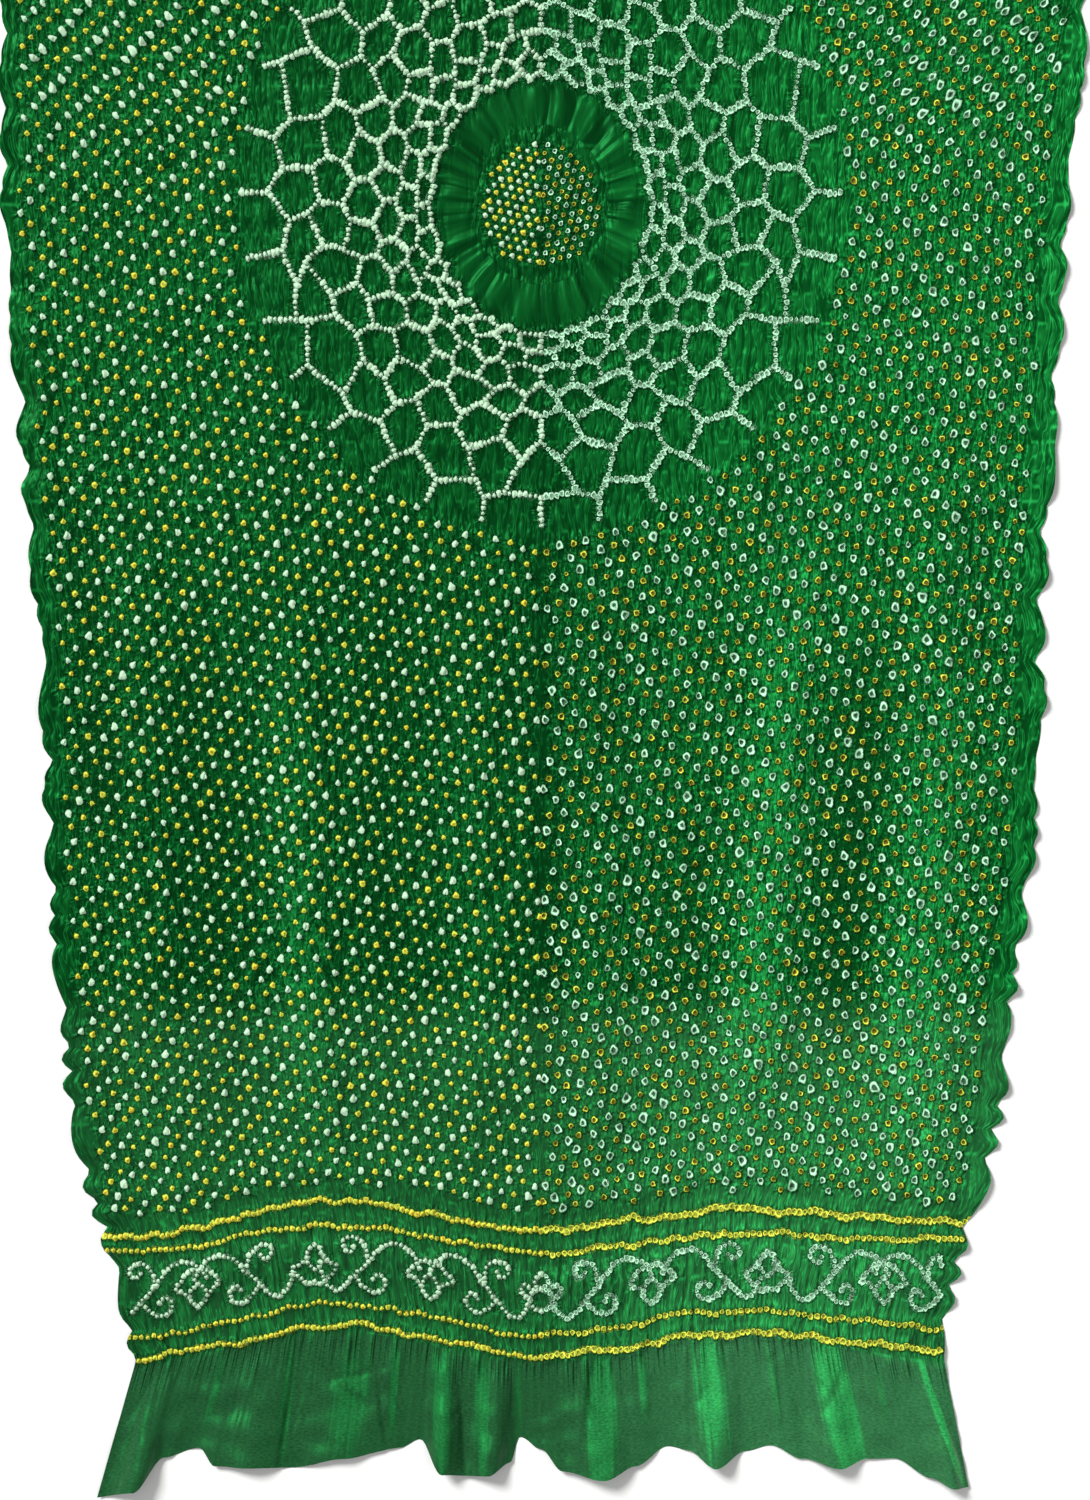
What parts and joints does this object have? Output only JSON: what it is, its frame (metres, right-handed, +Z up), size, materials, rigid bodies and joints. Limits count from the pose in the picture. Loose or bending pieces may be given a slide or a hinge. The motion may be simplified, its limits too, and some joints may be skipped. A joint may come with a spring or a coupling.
{
  "type": "bandhani cloth",
  "caption": "Long green tie-dyed stole with a netted medallion, tied borders and frilled plain ends, laid open flat.",
  "frame": {"origin": "middle of the cloth's outline, on the surface that it lies on", "axes": "+Y along the cloth, away from the end nearest the viewer; +X across it; +Z up, out of its face side"},
  "size_m": [0.927, 2.196, 0.0187],
  "materials": {
    "dyed_cloth": "soft silk sheen, crinkled, a little sheer"
  },
  "bodies": {
    "root": {"cloth": "dyed_cloth"}
  },
  "joints": []
}
